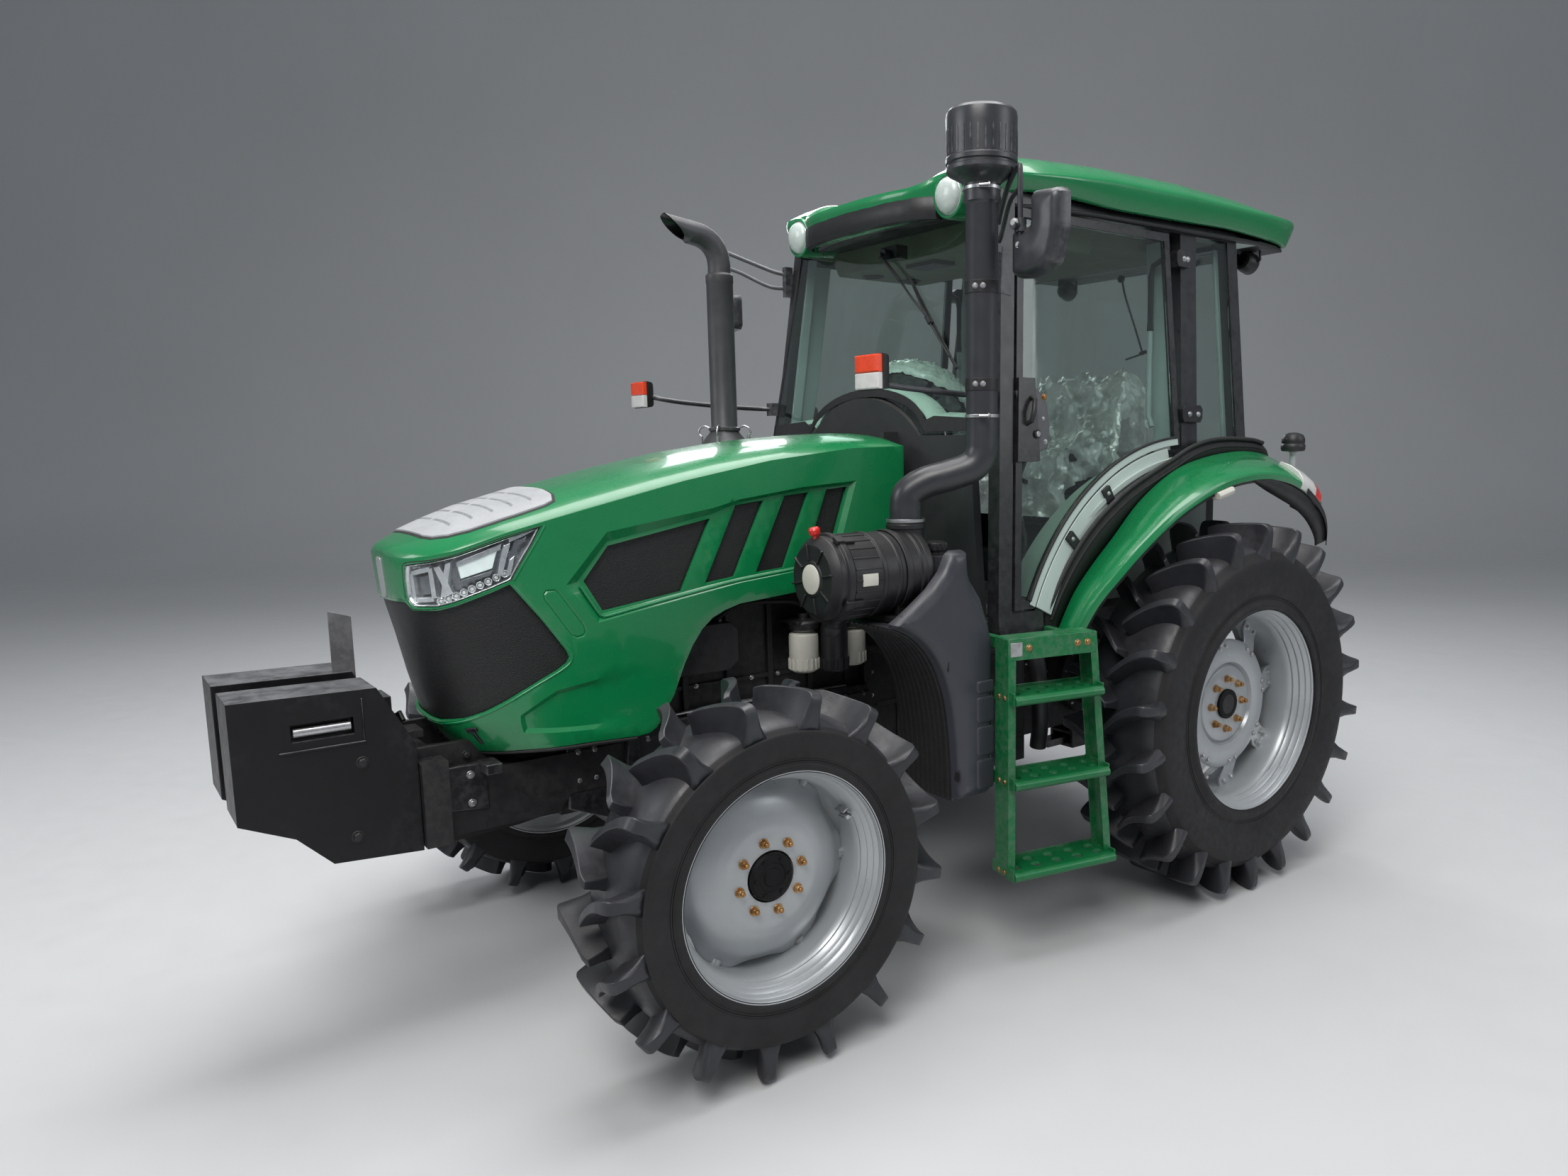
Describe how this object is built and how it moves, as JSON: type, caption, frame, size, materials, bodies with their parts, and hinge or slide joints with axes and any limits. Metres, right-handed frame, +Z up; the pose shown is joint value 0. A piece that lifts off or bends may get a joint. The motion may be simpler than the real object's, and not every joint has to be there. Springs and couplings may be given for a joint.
{
  "type": "farm tractor",
  "caption": "Four-wheel-drive farm tractor with a glazed cab, front ballast, side intake and exhaust stacks, deep-lug tyres and a rear three-point linkage.",
  "frame": {"origin": "on the floor, under the centre of the whole machine's box", "axes": "+X the tractor's left side, +Y rearward, +Z up; the front faces -Y"},
  "size_m": [2.494, 4.8499, 3.1047],
  "materials": {
    "green_paint": "gloss",
    "black_paint": "satin",
    "silver_paint": "satin",
    "tyre_rubber": "matte",
    "cast_black": "satin",
    "pipe_grey": "satin",
    "tank_plastic": "satin",
    "black_plastic": "matte",
    "cab_glass": "clear",
    "lamp_lens": "clear",
    "mesh_black": "matte",
    "liner_plastic": "satin",
    "seat_fabric": "woven",
    "steel": "brushed",
    "dash_plastic": "satin"
  },
  "bodies": {
    "chassis": {"front_frame": "black_paint", "front_weights": "black_paint", "engine": "cast_black", "transmission": "cast_black", "rear_axle": "cast_black", "front_axle": "cast_black", "air_cleaner": "black_plastic", "intake_pipe": "black_plastic", "exhaust_stack": "pipe_grey", "fuel_tank": "tank_plastic", "battery_box": "black_paint", "steps": "green_paint", "cab_frame": "black_paint", "cab_base": "black_plastic", "arch_liners": "liner_plastic", "cab_glass": "cab_glass", "roof": "green_paint", "seat_base": "black_plastic", "seat": "seat_fabric", "steering_console": "dash_plastic", "fenders": "green_paint", "work_lamps": "lamp_lens", "signal_lamps": "black_plastic", "mirrors": "black_plastic", "hitch_brackets": "cast_black", "drawbar": "black_paint"},
    "hood": {"hood": "green_paint", "headlights": "lamp_lens", "hood_mesh": "mesh_black"},
    "knuckle_left": {"knuckle_left": "cast_black"},
    "knuckle_right": {"knuckle_right": "cast_black"},
    "steering_rod": {"steering_rod": "steel"},
    "front_wheel_left": {"front_tyre_left": "tyre_rubber", "front_rim_left": "silver_paint"},
    "front_wheel_right": {"front_tyre_right": "tyre_rubber", "front_rim_right": "silver_paint"},
    "rear_wheel_left": {"rear_tyre_left": "tyre_rubber", "rear_rim_left": "silver_paint"},
    "rear_wheel_right": {"rear_tyre_right": "tyre_rubber", "rear_rim_right": "silver_paint"},
    "door_left": {"door_left": "black_paint", "door_glass_left": "cab_glass"},
    "door_right": {"door_right": "black_paint", "door_glass_right": "cab_glass"},
    "rear_window": {"rear_window": "black_paint", "rear_glass": "cab_glass"},
    "lower_links": {"lower_links": "black_paint"},
    "lift_arms": {"lift_arms": "black_paint"},
    "lift_rods": {"lift_rods": "black_paint"},
    "top_link": {"top_link": "black_paint"}
  },
  "joints": [
    {"name": "steer_left", "type": "hinge", "parent": "chassis", "child": "knuckle_left", "pos_m": [0.72, -1.105, 0.61], "axis": [0, 0, 1], "range_deg": [-33, 33]},
    {"name": "steer_right", "type": "hinge", "parent": "chassis", "child": "knuckle_right", "pos_m": [-0.72, -1.105, 0.61], "axis": [0, 0, 1], "range_deg": [-33, 33]},
    {"name": "steer_rod_slide", "type": "slide", "parent": "chassis", "child": "steering_rod", "axis": [1, 0, 0], "range_m": [-0.0825, 0.0825]},
    {"name": "front_spin_left", "type": "hinge", "parent": "knuckle_left", "child": "front_wheel_left", "pos_m": [0.9775, -1.105, 0.61], "axis": [1, 0, 0], "continuous": true},
    {"name": "front_spin_right", "type": "hinge", "parent": "knuckle_right", "child": "front_wheel_right", "pos_m": [-0.9775, -1.105, 0.61], "axis": [1, 0, 0], "continuous": true},
    {"name": "rear_spin_left", "type": "hinge", "parent": "chassis", "child": "rear_wheel_left", "pos_m": [1.0295, 1.215, 0.805], "axis": [1, 0, 0], "continuous": true},
    {"name": "rear_spin_right", "type": "hinge", "parent": "chassis", "child": "rear_wheel_right", "pos_m": [-1.0295, 1.215, 0.805], "axis": [1, 0, 0], "continuous": true},
    {"name": "hood_hinge", "type": "hinge", "parent": "chassis", "child": "hood", "pos_m": [0, -0.06, 1.985], "axis": [-1, 0, 0], "range_deg": [0, 50]},
    {"name": "door_left_hinge", "type": "hinge", "parent": "chassis", "child": "door_left", "pos_m": [0.80878, 1.157, 2], "axis": [-0.0942, 0, 0.9956], "range_deg": [0, 75]},
    {"name": "door_right_hinge", "type": "hinge", "parent": "chassis", "child": "door_right", "pos_m": [-0.80878, 1.157, 2], "axis": [-0.0942, 0, -0.9956], "range_deg": [0, 75]},
    {"name": "rear_window_hinge", "type": "hinge", "parent": "chassis", "child": "rear_window", "pos_m": [0, 1.679, 2.88], "axis": [1, 0, 0], "range_deg": [0, 45]},
    {"name": "lower_link_lift", "type": "hinge", "parent": "chassis", "child": "lower_links", "pos_m": [0, 1.345, 0.5], "axis": [1, 0, 0], "range_deg": [-12, 20]},
    {"name": "lift_arm_swing", "type": "hinge", "parent": "chassis", "child": "lift_arms", "pos_m": [0, 1.615, 1.04], "axis": [1, 0, 0], "range_deg": [-24, 40]},
    {"name": "lift_rod_swing", "type": "hinge", "parent": "lift_arms", "child": "lift_rods", "pos_m": [0, 1.905, 1.11], "axis": [1, 0, 0], "range_deg": [-36, 21.6]},
    {"name": "top_link_swing", "type": "hinge", "parent": "chassis", "child": "top_link", "pos_m": [0, 1.755, 0.93], "axis": [1, 0, 0], "range_deg": [-85, 0]}
  ],
  "couplings": [
    {"joint": "steer_right", "follows": "steer_left", "ratio": 1},
    {"joint": "steer_rod_slide", "follows": "steer_left", "m_per_rad": -0.1432},
    {"joint": "lift_arm_swing", "follows": "lower_link_lift", "ratio": 2},
    {"joint": "lift_rod_swing", "follows": "lower_link_lift", "ratio": -1.8}
  ]
}
